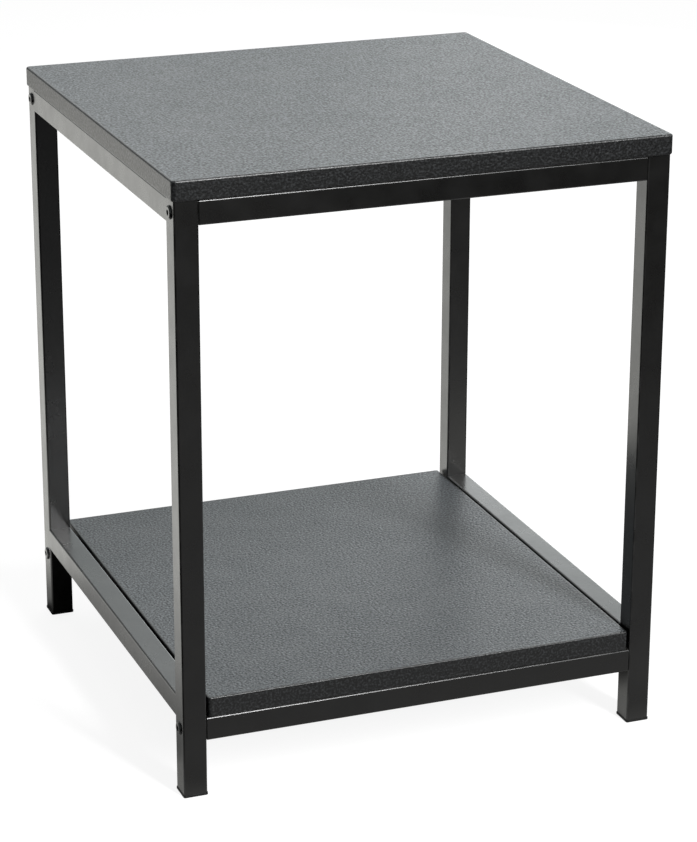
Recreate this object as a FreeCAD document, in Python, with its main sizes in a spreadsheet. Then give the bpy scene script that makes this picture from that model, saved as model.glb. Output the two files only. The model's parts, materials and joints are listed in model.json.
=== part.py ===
"""Flat-pack end table: two welded side frames of square tube, bolted cross rails, a top and a shelf.

Frame: +X to the right, +Y to the back, +Z up. The origin is on the floor, under the middle of the top.
Lengths are millimetres.
"""
import FreeCAD, Part
import os
import Sketcher
from math import pi, sqrt
from FreeCAD import Placement, Rotation, Vector

doc = FreeCAD.newDocument("end_table")

# ---------------------------------------------------------------------------------------------------
# Driving dimensions
# ---------------------------------------------------------------------------------------------------
DRIVING_SIZES = [
    # whole table
    ("table_width", 400, "top board, left to right"),
    ("table_depth", 400, "top board, front to back"),
    ("table_height", 490, "floor to the top surface"),
    ("top_overhang", 1.5, "top board past the frame, each side"),
    ("under_shelf_height", 46, "floor to the underside of the lower cross rails"),
    # square tube
    ("tube_side", 19, "outside of the square tube"),
    ("tube_wall", 1.0, "steel thickness of the tube"),
    ("tube_bore_radius", 0.5, "corner radius inside the tube"),
    ("rail_end_reveal", 0.5, "a cross rail stops this far short of each leg"),
    # boards
    ("top_thickness", 16, "top board"),
    ("shelf_thickness", 16, "shelf board"),
    ("edge_band", 2.0, "plastic band glued round each board"),
    ("top_arris_radius", 1.6, "rounding along the top board's upper and lower edges"),
    ("shelf_arris_radius", 0.9, "rounding along the shelf's upper and lower edges"),
    ("top_corner_radius", 3.5, "top board's corners, seen from above"),
    ("shelf_corner_radius", 2.2, "shelf's corners, seen from above"),
    ("shelf_side_gap", 2, "shelf to the legs and side rails, left and right"),
    ("shelf_end_inset", 0.5, "shelf's front and back edges behind the legs' faces"),
    # frame bolts and the nut blocks they screw into
    ("bolt_diameter", 6, "shank of the frame bolts"),
    ("bolt_clearance", 0.5, "bolt holes in the legs, over the shank"),
    ("bolt_head_diameter", 10.5, "low button head"),
    ("bolt_head_height", 1.6, "low button head"),
    ("bolt_head_rim", 0.4, "straight rim under the rounding"),
    ("bolt_head_flat", 7.8, "flat on top of the head, across"),
    ("bolt_dome_radius", 1.5, "rounding from the rim to the flat"),
    ("bolt_socket_flats", 4, "hexagon socket, across flats"),
    ("bolt_socket_depth", 2, "hexagon socket"),
    ("bolt_past_nut", 3, "shank past the nut block, with its point"),
    ("bolt_point", 1, "chamfered point of the shank"),
    ("nut_thickness", 8, "nut block in each cross rail's end"),
    # screws that hold the boards down
    ("screw_diameter", 4, "shank of the board screws"),
    ("screw_clearance", 0.5, "screw holes in the cross rails, over the shank"),
    ("screw_head_diameter", 7.6, "low pan head"),
    ("screw_head_height", 1.6, "low pan head"),
    ("screw_head_rim", 0.5, "straight rim under the dome"),
    ("screw_head_flat", 5.0, "flat on top of the pan head, across"),
    ("screw_dome_radius", 1.5, "rounding from the rim to the flat"),
    ("screw_recess_length", 4, "cross recess, tip to tip"),
    ("screw_recess_width", 1, "cross recess, one slot"),
    ("screw_recess_depth", 1.2, "cross recess"),
    ("screw_bite", 11, "screw length inside the board"),
    ("screw_point", 4, "tapered point of the screw"),
    ("pilot_past_point", 0.5, "pilot hole past the screw's point"),
    ("screw_spacing", 200, "between the two screws in one cross rail"),
    # plugs in the legs' feet
    ("flange_thickness", 2, "plug's flange, between the leg and the floor"),
    ("flange_proud", 0.4, "flange past the leg, each side"),
    ("flange_corner_radius", 1.5, "flange's corners, seen from above"),
    ("flange_floor_radius", 0.6, "rounding where the flange meets the floor"),
    ("plug_clearance", 0.6, "plug's stem to the tube's bore, each side"),
    ("plug_stem_height", 14, "stem above the flange"),
    ("plug_stem_wall", 1.6, "wall of the hollow stem"),
    ("plug_corner_radius", 0.5, "corners inside and outside the stem"),
    ("plug_fin_thickness", 1, "gripping fin round the stem"),
    ("plug_fin_pitch", 4, "fin to fin"),
    # weld beads under the side rails
    ("weld_leg", 3, "size of the fillet weld"),
    ("weld_crown", 0.5, "how far the bead's face bulges"),
]
PLUG_FIN_COUNT = 3
SAME_LENGTH = 1e-6  # two lengths closer than this are the same

sheet = doc.addObject("Spreadsheet::Sheet", "sizes")
for row, (alias, number, meaning) in enumerate(DRIVING_SIZES, start=1):
    sheet.set(f"A{row}", meaning)
    sheet.set(f"B{row}", str(number))
    sheet.setAlias(f"B{row}", alias)
doc.recompute()

# ---------------------------------------------------------------------------------------------------
# Sizes and places worked out from the driving dimensions
# ---------------------------------------------------------------------------------------------------
FRAME_WIDTH = "(sizes.table_width - 2 * sizes.top_overhang)"
FRAME_DEPTH = "(sizes.table_depth - 2 * sizes.top_overhang)"
BETWEEN_LEGS_X = f"({FRAME_WIDTH} - 2 * sizes.tube_side)"
BETWEEN_LEGS_Y = f"({FRAME_DEPTH} - 2 * sizes.tube_side)"
LEG_AXIS_X = f"({FRAME_WIDTH} - sizes.tube_side) / 2"
LEG_AXIS_Y = f"({FRAME_DEPTH} - sizes.tube_side) / 2"

TUBE_BORE = "(sizes.tube_side - 2 * sizes.tube_wall)"
TUBE_CORNER_RADIUS = "(sizes.tube_bore_radius + sizes.tube_wall)"
TUBE_FLAT = f"(sizes.tube_side - 2 * {TUBE_CORNER_RADIUS})"

LEG_FOOT = "sizes.flange_thickness"
FRAME_TOP = "(sizes.table_height - sizes.top_thickness)"
SHELF_UNDERSIDE = "(sizes.under_shelf_height + sizes.tube_side)"
SHELF_SURFACE = f"({SHELF_UNDERSIDE} + sizes.shelf_thickness)"
UPPER_RAIL_AXIS = f"({FRAME_TOP} - sizes.tube_side / 2)"
LOWER_CROSS_RAIL_AXIS = f"({SHELF_UNDERSIDE} - sizes.tube_side / 2)"
LOWER_SIDE_RAIL_AXIS = f"({SHELF_SURFACE} - sizes.tube_side / 2)"

CROSS_RAIL_LENGTH = f"({BETWEEN_LEGS_X} - 2 * sizes.rail_end_reveal)"
BOLT_LENGTH = "(sizes.tube_side + sizes.nut_thickness + sizes.bolt_past_nut)"
SCREW_LENGTH = "(sizes.tube_side + sizes.screw_bite)"

# which way a piece's own +Z axis points once it is placed
UPRIGHT = Rotation()
TO_RIGHT = Rotation(Vector(0, 1, 0), 90)
TO_LEFT = Rotation(Vector(0, 1, 0), -90)
TO_BACK = Rotation(Vector(1, 0, 0), -90)
TO_FLOOR = Rotation(Vector(1, 0, 0), 180)
# upright still, but turned about the vertical
TURNED_ROUND = Rotation(Vector(0, 0, 1), 180)

nodes = []


def value_of(expression):
    """The number that an expression over the sheet gives, in millimetres."""
    return float(sheet.evalExpression(expression))


# ---------------------------------------------------------------------------------------------------
# Drawing helpers
# ---------------------------------------------------------------------------------------------------
def new_body(name, is_node=True):
    """A PartDesign body. A node is exported under its own label."""
    body = doc.addObject("PartDesign::Body", name)
    body.Label = name
    if is_node:
        nodes.append(body)
    return body


def place(piece, x, y, z, rotation=UPRIGHT):
    """Turns a body or a link, and ties its position to three expressions."""
    piece.Placement = Placement(Vector(), rotation)
    for axis, expression in zip("xyz", (x, y, z)):
        piece.setExpression(f"Placement.Base.{axis}", expression)


def new_sketch(body, name, plane_role, height=None):
    """A sketch on one of the body's origin planes, or raised above it."""
    sketch = body.newObject("Sketcher::SketchObject", name)
    plane = next(item for item in body.Origin.OriginFeatures if item.Role == plane_role)
    sketch.AttachmentSupport = (plane, [""])
    sketch.MapMode = "FlatFace"
    if height is not None:
        sketch.setExpression("AttachmentOffset.Base.z", height)
    return sketch


def dimension(sketch, expression, kind, *elements):
    """Adds a driving constraint whose value follows an expression."""
    index = sketch.addConstraint(Sketcher.Constraint(kind, *elements, value_of(expression)))
    name = f"{kind}_{index}"
    sketch.renameConstraint(index, name)
    sketch.setExpression(f"Constraints.{name}", expression)


def draw_rounded_rectangle(sketch, width, depth, radius):
    """A rectangle round the sketch's origin, its four corners rounded."""
    half_x, half_y, r = value_of(width) / 2, value_of(depth) / 2, value_of(radius)
    quarter = pi / 2
    corners = [(1, -1), (1, 1), (-1, 1), (-1, -1)]
    starts = [(r - half_x, -half_y), (half_x, r - half_y), (half_x - r, half_y), (-half_x, half_y - r)]
    ends = [(half_x - r, -half_y), (half_x, half_y - r), (r - half_x, half_y), (-half_x, r - half_y)]
    pieces = []
    for turn, (side_x, side_y) in enumerate(corners):
        line = Part.LineSegment(Vector(*starts[turn], 0), Vector(*ends[turn], 0))
        centre = Vector(side_x * (half_x - r), side_y * (half_y - r), 0)
        circle = Part.Circle(centre, Vector(0, 0, 1), r)
        arc = Part.ArcOfCircle(circle, (turn - 1) * quarter, turn * quarter)
        pieces += [sketch.addGeometry(line), sketch.addGeometry(arc)]
    lines, arcs = pieces[0::2], pieces[1::2]
    for first, second in zip(pieces, pieces[1:] + pieces[:1]):
        sketch.addConstraint(Sketcher.Constraint("Tangent", first, 2, second, 1))
    for line, kind in zip(lines, ("Horizontal", "Vertical") * 2):
        sketch.addConstraint(Sketcher.Constraint(kind, line))
    for arc in arcs[1:]:
        sketch.addConstraint(Sketcher.Constraint("Equal", arcs[0], arc))
    sketch.addConstraint(Sketcher.Constraint("Symmetric", arcs[0], 3, arcs[2], 3, -1, 1))
    dimension(sketch, width, "DistanceX", lines[3], 1, lines[1], 1)
    dimension(sketch, depth, "DistanceY", lines[0], 1, lines[2], 1)
    dimension(sketch, radius, "Radius", arcs[0])


def draw_circle(sketch, x, y, diameter):
    """A circle whose centre is tied to the sketch's origin."""
    centre = Vector(value_of(x), value_of(y), 0)
    circle = sketch.addGeometry(Part.Circle(centre, Vector(0, 0, 1), value_of(diameter) / 2))
    dimension(sketch, x, "DistanceX", -1, 1, circle, 3)
    dimension(sketch, y, "DistanceY", -1, 1, circle, 3)
    dimension(sketch, diameter, "Diameter", circle)


def bulging_arc(start, end, radius):
    """An arc that swells to the right of the straight way from its start to its end."""
    chord = end - start
    rise = radius - sqrt(radius**2 - (chord.Length / 2) ** 2)
    outwards = Vector(chord.y, -chord.x, 0).normalize()
    return Part.Arc(start, (start + end) / 2 + outwards * rise, end)


def draw_outline(sketch, points, bulges=None):
    """A closed outline, drawn anticlockwise; each point is a pair of expressions.

    Its sides are straight, but for those that bulges names by their starting point's number:
    such a side is an arc of the radius given there.
    """
    bulges = bulges or {}
    spots = [Vector(value_of(x), value_of(y), 0) for x, y in points]
    sides = []
    for number, (start, end) in enumerate(zip(spots, spots[1:] + spots[:1])):
        if number in bulges:
            side = bulging_arc(start, end, value_of(bulges[number]))
        else:
            side = Part.LineSegment(start, end)
        sides.append(sketch.addGeometry(side))
    for first, second in zip(sides, sides[1:] + sides[:1]):
        sketch.addConstraint(Sketcher.Constraint("Coincident", first, 2, second, 1))
    for side, (x, y) in zip(sides, points):
        dimension(sketch, x, "DistanceX", -1, 1, side, 1)
        dimension(sketch, y, "DistanceY", -1, 1, side, 1)
    for number, radius in bulges.items():
        dimension(sketch, radius, "Radius", sides[number])


def pad(body, name, sketch, length, symmetric=False):
    """Raises a sketch into a solid."""
    feature = body.newObject("PartDesign::Pad", name)
    feature.Profile = sketch
    feature.setExpression("Length", length)
    if symmetric:
        feature.SideType = "Symmetric"
    doc.recompute()
    return feature


def pocket(body, name, sketch, depth=None, upwards=False):
    """Cuts a sketch out of the body: to a depth, or right through both ways."""
    volume_before = body.Shape.Volume
    feature = body.newObject("PartDesign::Pocket", name)
    feature.Profile = sketch
    if depth is None:
        feature.Type = "ThroughAll"
        feature.SideType = "Symmetric"
    else:
        feature.setExpression("Length", depth)
        feature.Reversed = upwards
    doc.recompute()
    if not body.Shape.Volume < volume_before:
        raise RuntimeError(f"{body.Label}: {name} cuts nothing")


def fillet(body, name, base, edges, radius):
    """Rounds some edges of a feature."""
    feature = body.newObject("PartDesign::Fillet", name)
    feature.Base = (base, [f"Edge{number}" for number in edges])
    feature.setExpression("Radius", radius)
    doc.recompute()


def revolve(body, name, sketch):
    """Turns a half outline, drawn on the XZ plane, once round the body's Z axis."""
    feature = body.newObject("PartDesign::Revolution", name)
    feature.Profile = sketch
    feature.ReferenceAxis = (sketch, ["V_Axis"])
    doc.recompute()


def rim_edges(shape, level):
    """Numbers of the outer edges of the flat face at a height."""
    rim = []
    for face in shape.Faces:
        box = face.BoundBox
        if abs(box.ZMin - level) < SAME_LENGTH and abs(box.ZMax - level) < SAME_LENGTH:
            rim += face.OuterWire.Edges
    numbers = []
    for number, edge in enumerate(shape.Edges, start=1):
        if any(edge.isSame(rim_edge) for rim_edge in rim):
            numbers.append(number)
    return numbers


def group(name, master, spots):
    """One node that holds a copy of the master at each spot, as separate solids."""
    links = []
    for number, (x, y, z, rotation) in enumerate(spots, start=1):
        link = doc.addObject("App::Link", f"{name}_{number}")
        link.LinkedObject = master
        link.LinkTransform = False
        place(link, x, y, z, rotation)
        links.append(link)
    compound = doc.addObject("Part::Compound", name)
    compound.Label = name
    compound.Links = links
    nodes.append(compound)


# ---------------------------------------------------------------------------------------------------
# Steel frame
# ---------------------------------------------------------------------------------------------------
SIDES = {"left": -1, "right": 1}
ENDS = {"front": -1, "back": 1}


def square_tube(name, length):
    """A length of square tube that starts at the body's origin and runs along its Z axis."""
    body = new_body(name)
    section = new_sketch(body, f"{name}_section", "XY_Plane")
    draw_rounded_rectangle(section, "sizes.tube_side", "sizes.tube_side", TUBE_CORNER_RADIUS)
    draw_rounded_rectangle(section, TUBE_BORE, TUBE_BORE, "sizes.tube_bore_radius")
    pad(body, f"{name}_tube", section, length)
    return body


def drill(body, diameter, distances):
    """Holes right through both walls along the tube's own X axis, at distances from its start."""
    sketch = new_sketch(body, f"{body.Label}_hole_places", "YZ_Plane")
    for distance in distances:
        draw_circle(sketch, "0", distance, diameter)
    pocket(body, f"{body.Label}_holes", sketch)


def leg(name, x, y):
    """A leg, drilled for the two cross rails that are bolted to it."""
    body = square_tube(name, f"{FRAME_TOP} - {LEG_FOOT}")
    heights = [f"{axis} - {LEG_FOOT}" for axis in (LOWER_CROSS_RAIL_AXIS, UPPER_RAIL_AXIS)]
    drill(body, "sizes.bolt_diameter + sizes.bolt_clearance", heights)
    place(body, x, y, LEG_FOOT)


def side_rail(name, x, z):
    """A rail between a front and a back leg, welded to both."""
    body = square_tube(name, BETWEEN_LEGS_Y)
    place(body, x, f"-{BETWEEN_LEGS_Y} / 2", z, TO_BACK)


def cross_rail(name, y, z):
    """A rail between a left and a right leg, drilled for the two screws that hold a board."""
    body = square_tube(name, CROSS_RAIL_LENGTH)
    distances = [f"{CROSS_RAIL_LENGTH} / 2 {sign} sizes.screw_spacing / 2" for sign in "-+"]
    drill(body, "sizes.screw_diameter + sizes.screw_clearance", distances)
    place(body, f"-{CROSS_RAIL_LENGTH} / 2", y, z, TO_RIGHT)


for end, end_sign in ENDS.items():
    for side, side_sign in SIDES.items():
        leg(f"leg_{end}_{side}", f"{side_sign} * {LEG_AXIS_X}", f"{end_sign} * {LEG_AXIS_Y}")

for side, side_sign in SIDES.items():
    side_rail(f"side_rail_upper_{side}", f"{side_sign} * {LEG_AXIS_X}", UPPER_RAIL_AXIS)
    side_rail(f"side_rail_lower_{side}", f"{side_sign} * {LEG_AXIS_X}", LOWER_SIDE_RAIL_AXIS)

for end, end_sign in ENDS.items():
    cross_rail(f"cross_rail_upper_{end}", f"{end_sign} * {LEG_AXIS_Y}", UPPER_RAIL_AXIS)
    cross_rail(f"cross_rail_lower_{end}", f"{end_sign} * {LEG_AXIS_Y}", LOWER_CROSS_RAIL_AXIS)


# ---------------------------------------------------------------------------------------------------
# Welds of the side frames: a bead under each end of a side rail, and weld ground flush on its two faces
# ---------------------------------------------------------------------------------------------------
def weld_bead():
    """A bead whose corner is the origin: it runs along X and fills towards +Y and -Z."""
    body = new_body("weld_bead", is_node=False)
    section = new_sketch(body, "weld_bead_section", "YZ_Plane")
    corner, on_rail, on_leg = ("0", "0"), ("sizes.weld_leg", "0"), ("0", "-sizes.weld_leg")
    face_width = "(sizes.weld_leg * sqrt(2))"
    face_radius = f"({face_width} * {face_width} / (8 * sizes.weld_crown) + sizes.weld_crown / 2)"
    draw_outline(section, [on_leg, on_rail, corner], bulges={0: face_radius})
    pad(body, "weld_bead_run", section, TUBE_FLAT, symmetric=True)
    return body


def ground_weld():
    """Weld metal that carries a rail's surface on over the two rounded corners of the leg.

    The middle of the joint is the origin, and the leg stands on its -Y side.
    """
    rail_end = new_body("ground_weld_rail_end", is_node=False)
    section = new_sketch(rail_end, "ground_weld_rail_section", "XZ_Plane")
    draw_rounded_rectangle(section, "sizes.tube_side", "sizes.tube_side", TUBE_CORNER_RADIUS)
    pad(rail_end, "ground_weld_rail_run", section, TUBE_CORNER_RADIUS)

    leg_piece = new_body("ground_weld_leg_piece", is_node=False)
    outline = new_sketch(leg_piece, "ground_weld_leg_section", "XY_Plane")
    draw_rounded_rectangle(outline, "sizes.tube_side", "sizes.tube_side", TUBE_CORNER_RADIUS)
    pad(leg_piece, "ground_weld_leg_run", outline, "2 * sizes.tube_side", symmetric=True)
    place(leg_piece, "0", "-sizes.tube_side / 2", "0")

    metal = doc.addObject("Part::Cut", "ground_weld")
    metal.Base = rail_end
    metal.Tool = leg_piece
    doc.recompute()
    return metal


bead = weld_bead()
ground = ground_weld()
JOINT_TURNS = {-1: UPRIGHT, 1: TURNED_ROUND}
for side, side_sign in SIDES.items():
    bead_spots, ground_spots = [], []
    for rail_axis in (UPPER_RAIL_AXIS, LOWER_SIDE_RAIL_AXIS):
        for end_sign in ENDS.values():
            joint_x, joint_y = f"{side_sign} * {LEG_AXIS_X}", f"{end_sign} * {BETWEEN_LEGS_Y} / 2"
            underside = f"{rail_axis} - sizes.tube_side / 2"
            bead_spots.append((joint_x, joint_y, underside, JOINT_TURNS[end_sign]))
            ground_spots.append((joint_x, joint_y, rail_axis, JOINT_TURNS[end_sign]))
    group(f"weld_beads_{side}", bead, bead_spots)
    group(f"ground_welds_{side}", ground, ground_spots)


# ---------------------------------------------------------------------------------------------------
# Nut blocks welded into the cross rails' ends, and the bolts that draw the rails to the legs
# ---------------------------------------------------------------------------------------------------
def nut_block():
    """A block that fills the tube's bore, threaded through; its outer face is at the origin."""
    body = new_body("nut_block", is_node=False)
    outline = new_sketch(body, "nut_block_outline", "XY_Plane")
    draw_rounded_rectangle(outline, TUBE_BORE, TUBE_BORE, "sizes.tube_bore_radius")
    pad(body, "nut_block_solid", outline, "sizes.nut_thickness")
    thread = new_sketch(body, "nut_block_thread_place", "XY_Plane")
    draw_circle(thread, "0", "0", "sizes.bolt_diameter")
    pocket(body, "nut_block_thread", thread)
    return body


def turned_fastener(name, kind, point):
    """A shank that runs down from the origin's plane under a domed head, below it a point."""
    body = new_body(name, is_node=False)
    half = new_sketch(body, f"{name}_half", "XZ_Plane")
    shank, head, flat = (f"sizes.{kind}_{size} / 2" for size in ("diameter", "head_diameter", "head_flat"))
    rim, top = (f"sizes.{kind}_{size}" for size in ("head_rim", "head_height"))
    outline = point + [(shank, "0"), (head, "0"), (head, rim), (flat, top), ("0", top)]
    dome = outline.index((head, rim))
    draw_outline(half, outline, bulges={dome: f"sizes.{kind}_dome_radius"})
    revolve(body, f"{name}_turned", half)
    return body


def frame_bolt():
    """A low button-head bolt with a hexagon socket."""
    shank = "sizes.bolt_diameter / 2"
    point = [
        ("0", f"-{BOLT_LENGTH}"),
        (f"{shank} - sizes.bolt_point", f"-{BOLT_LENGTH}"),
        (shank, f"sizes.bolt_point - {BOLT_LENGTH}"),
    ]
    body = turned_fastener("frame_bolt", "bolt", point)
    corner, half_flats = "(sizes.bolt_socket_flats / sqrt(3))", "(sizes.bolt_socket_flats / 2)"
    hexagon = [
        (corner, "0"),
        (f"{corner} / 2", half_flats),
        (f"-{corner} / 2", half_flats),
        (f"-{corner}", "0"),
        (f"-{corner} / 2", f"-{half_flats}"),
        (f"{corner} / 2", f"-{half_flats}"),
    ]
    socket = new_sketch(body, "frame_bolt_socket_outline", "XY_Plane", "sizes.bolt_head_height")
    draw_outline(socket, hexagon)
    pocket(body, "frame_bolt_socket", socket, "sizes.bolt_socket_depth")
    return body


nut = nut_block()
bolt = frame_bolt()
nut_spots, bolt_spots = [], []
for side_sign, inwards, outwards in ((-1, TO_RIGHT, TO_LEFT), (1, TO_LEFT, TO_RIGHT)):
    for end_sign in ENDS.values():
        for axis in (LOWER_CROSS_RAIL_AXIS, UPPER_RAIL_AXIS):
            axis_y = f"{end_sign} * {LEG_AXIS_Y}"
            nut_spots.append((f"{side_sign} * {BETWEEN_LEGS_X} / 2", axis_y, axis, inwards))
            bolt_spots.append((f"{side_sign} * {FRAME_WIDTH} / 2", axis_y, axis, outwards))
group("rail_end_nuts", nut, nut_spots)
group("frame_bolts", bolt, bolt_spots)


# ---------------------------------------------------------------------------------------------------
# Boards: a panel with a plastic band glued round its edges
# ---------------------------------------------------------------------------------------------------
def board(name, width, depth, thickness, corner_radius, arris_radius, underside):
    """A panel drilled from below for its screws, and the edge band round it."""
    panel_width, panel_depth = (f"({size} - 2 * sizes.edge_band)" for size in (width, depth))
    panel_radius = f"({corner_radius} - sizes.edge_band)"

    panel = new_body(f"{name}_panel")
    outline = new_sketch(panel, f"{name}_panel_outline", "XY_Plane")
    draw_rounded_rectangle(outline, panel_width, panel_depth, panel_radius)
    pad(panel, f"{name}_panel_solid", outline, thickness)
    pilots = new_sketch(panel, f"{name}_pilot_places", "XY_Plane")
    for side_sign in SIDES.values():
        for end_sign in ENDS.values():
            spot = (f"{side_sign} * sizes.screw_spacing / 2", f"{end_sign} * {LEG_AXIS_Y}")
            draw_circle(pilots, *spot, "sizes.screw_diameter")
    pocket(panel, f"{name}_pilots", pilots, "sizes.screw_bite + sizes.pilot_past_point", upwards=True)
    place(panel, "0", "0", underside)

    band = new_body(f"{name}_edge_band")
    ring = new_sketch(band, f"{name}_band_ring", "XY_Plane")
    draw_rounded_rectangle(ring, width, depth, corner_radius)
    draw_rounded_rectangle(ring, panel_width, panel_depth, panel_radius)
    strip = pad(band, f"{name}_band_strip", ring, thickness)
    rims = rim_edges(strip.Shape, 0) + rim_edges(strip.Shape, value_of(thickness))
    fillet(band, f"{name}_band_arris", strip, rims, arris_radius)
    place(band, "0", "0", underside)


board(
    "top",
    width="sizes.table_width",
    depth="sizes.table_depth",
    thickness="sizes.top_thickness",
    corner_radius="sizes.top_corner_radius",
    arris_radius="sizes.top_arris_radius",
    underside=FRAME_TOP,
)
board(
    "shelf",
    width=f"({BETWEEN_LEGS_X} - 2 * sizes.shelf_side_gap)",
    depth=f"({FRAME_DEPTH} - 2 * sizes.shelf_end_inset)",
    thickness="sizes.shelf_thickness",
    corner_radius="sizes.shelf_corner_radius",
    arris_radius="sizes.shelf_arris_radius",
    underside=SHELF_UNDERSIDE,
)


# ---------------------------------------------------------------------------------------------------
# Screws up through the cross rails into the boards
# ---------------------------------------------------------------------------------------------------
def board_screw():
    """A pan-head screw with a cross recess."""
    point = [("0", f"-{SCREW_LENGTH}"), ("sizes.screw_diameter / 2", f"sizes.screw_point - {SCREW_LENGTH}")]
    body = turned_fastener("board_screw", "screw", point)
    long_half, short_half = "(sizes.screw_recess_length / 2)", "(sizes.screw_recess_width / 2)"
    cross = []
    for sign_x, sign_y in ((1, 1), (-1, 1), (-1, -1), (1, -1)):
        tips = [
            (f"{sign_x} * {long_half}", f"{sign_y} * {short_half}"),
            (f"{sign_x} * {short_half}", f"{sign_y} * {short_half}"),
            (f"{sign_x} * {short_half}", f"{sign_y} * {long_half}"),
        ]
        cross += tips if sign_x == sign_y else tips[::-1]
    recess = new_sketch(body, "board_screw_recess_outline", "XY_Plane", "sizes.screw_head_height")
    draw_outline(recess, cross)
    pocket(body, "board_screw_recess", recess, "sizes.screw_recess_depth")
    return body


screw = board_screw()
for node_name, rail_axis in (("top_screws", UPPER_RAIL_AXIS), ("shelf_screws", LOWER_CROSS_RAIL_AXIS)):
    screw_spots = [
        (
            f"{side_sign} * sizes.screw_spacing / 2",
            f"{end_sign} * {LEG_AXIS_Y}",
            f"{rail_axis} - sizes.tube_side / 2",
            TO_FLOOR,
        )
        for side_sign in SIDES.values()
        for end_sign in ENDS.values()
    ]
    group(node_name, screw, screw_spots)


# ---------------------------------------------------------------------------------------------------
# Plastic plugs in the legs' feet
# ---------------------------------------------------------------------------------------------------
def foot_plug(name, x, y):
    """A flange on the floor and a hollow stem whose fins grip the tube's bore."""
    body = new_body(name)
    flange_side = "(sizes.tube_side + 2 * sizes.flange_proud)"
    stem_side = f"({TUBE_BORE} - 2 * sizes.plug_clearance)"
    hollow_side = f"({stem_side} - 2 * sizes.plug_stem_wall)"

    flange_outline = new_sketch(body, f"{name}_flange_outline", "XY_Plane")
    draw_rounded_rectangle(flange_outline, flange_side, flange_side, "sizes.flange_corner_radius")
    flange = pad(body, f"{name}_flange", flange_outline, "sizes.flange_thickness")
    fillet(body, f"{name}_floor_edge", flange, rim_edges(flange.Shape, 0), "sizes.flange_floor_radius")

    stem_outline = new_sketch(body, f"{name}_stem_outline", "XY_Plane", "sizes.flange_thickness")
    draw_rounded_rectangle(stem_outline, stem_side, stem_side, "sizes.plug_corner_radius")
    pad(body, f"{name}_stem", stem_outline, "sizes.plug_stem_height")

    fin_height = "sizes.flange_thickness + sizes.plug_fin_pitch"
    fin_outline = new_sketch(body, f"{name}_fin_outline", "XY_Plane", fin_height)
    draw_rounded_rectangle(fin_outline, TUBE_BORE, TUBE_BORE, "sizes.tube_bore_radius")
    fin = pad(body, f"{name}_fin", fin_outline, "sizes.plug_fin_thickness")
    fins = body.newObject("PartDesign::LinearPattern", f"{name}_fins")
    fins.Originals = [fin]
    fins.Direction = (fin_outline, ["N_Axis"])
    fins.Mode = "Spacing"
    fins.setExpression("Offset", "sizes.plug_fin_pitch")
    fins.Occurrences = PLUG_FIN_COUNT
    body.Tip = fins
    doc.recompute()

    stem_top = "sizes.flange_thickness + sizes.plug_stem_height"
    hollow_outline = new_sketch(body, f"{name}_hollow_outline", "XY_Plane", stem_top)
    draw_rounded_rectangle(hollow_outline, hollow_side, hollow_side, "sizes.plug_corner_radius")
    pocket(body, f"{name}_hollow", hollow_outline, "sizes.plug_stem_height")
    place(body, x, y, "0")


for end, end_sign in ENDS.items():
    for side, side_sign in SIDES.items():
        foot_plug(f"foot_plug_{end}_{side}", f"{side_sign} * {LEG_AXIS_X}", f"{end_sign} * {LEG_AXIS_Y}")


# ---------------------------------------------------------------------------------------------------
# Checks and export
# ---------------------------------------------------------------------------------------------------
doc.recompute()
for item in doc.Objects:
    if {"Invalid", "Error"} & set(item.State):
        raise RuntimeError(f"{item.Label} failed: {item.State}")
os.makedirs("parts", exist_ok=True)
for node in nodes:
    if node.Shape.isNull() or not node.Shape.isValid():
        raise RuntimeError(f"{node.Label} has no valid shape")
for node in nodes:
    node.Shape.exportStep(f"parts/{node.Label}.step")
    box = node.Shape.BoundBox
    low = f"{box.XMin:.1f} {box.YMin:.1f} {box.ZMin:.1f}"
    high = f"{box.XMax:.1f} {box.YMax:.1f} {box.ZMax:.1f}"
    print(f"{node.Label}: {len(node.Shape.Solids)} solid(s), {low} to {high}")
print(len(nodes), "nodes")
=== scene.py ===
# %% [markdown]
# # A black end table with a shelf
#
# The table is a flat-pack piece: two welded frames of 19 mm square steel tube, four cross rails that are
# bolted between them, and two boards of particle board under a textured black laminate. This lesson
# loads the finished construction, gives each surface its finish, and models the small hardware.
#
# Everything is in metres. Z points up, X runs along the bolted cross rails, Y along the welded rails.

# %% Load the construction
import json
import math

import bpy
from mathutils import Matrix, Vector


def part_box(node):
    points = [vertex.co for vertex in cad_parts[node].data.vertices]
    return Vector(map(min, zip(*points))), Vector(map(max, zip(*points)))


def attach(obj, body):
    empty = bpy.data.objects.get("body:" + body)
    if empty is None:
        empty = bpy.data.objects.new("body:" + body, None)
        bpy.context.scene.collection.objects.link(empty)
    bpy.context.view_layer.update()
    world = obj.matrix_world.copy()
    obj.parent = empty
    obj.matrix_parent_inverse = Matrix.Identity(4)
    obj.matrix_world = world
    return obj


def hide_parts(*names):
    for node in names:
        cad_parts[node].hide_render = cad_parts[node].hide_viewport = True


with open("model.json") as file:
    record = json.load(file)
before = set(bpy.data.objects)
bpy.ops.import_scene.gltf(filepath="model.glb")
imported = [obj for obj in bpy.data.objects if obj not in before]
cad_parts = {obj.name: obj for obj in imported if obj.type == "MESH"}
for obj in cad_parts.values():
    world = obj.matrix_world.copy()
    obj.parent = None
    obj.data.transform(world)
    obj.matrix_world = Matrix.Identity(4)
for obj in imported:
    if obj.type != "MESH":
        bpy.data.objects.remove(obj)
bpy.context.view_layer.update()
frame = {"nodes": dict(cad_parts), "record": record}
nodes = frame["nodes"]
MM = 0.001
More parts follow.
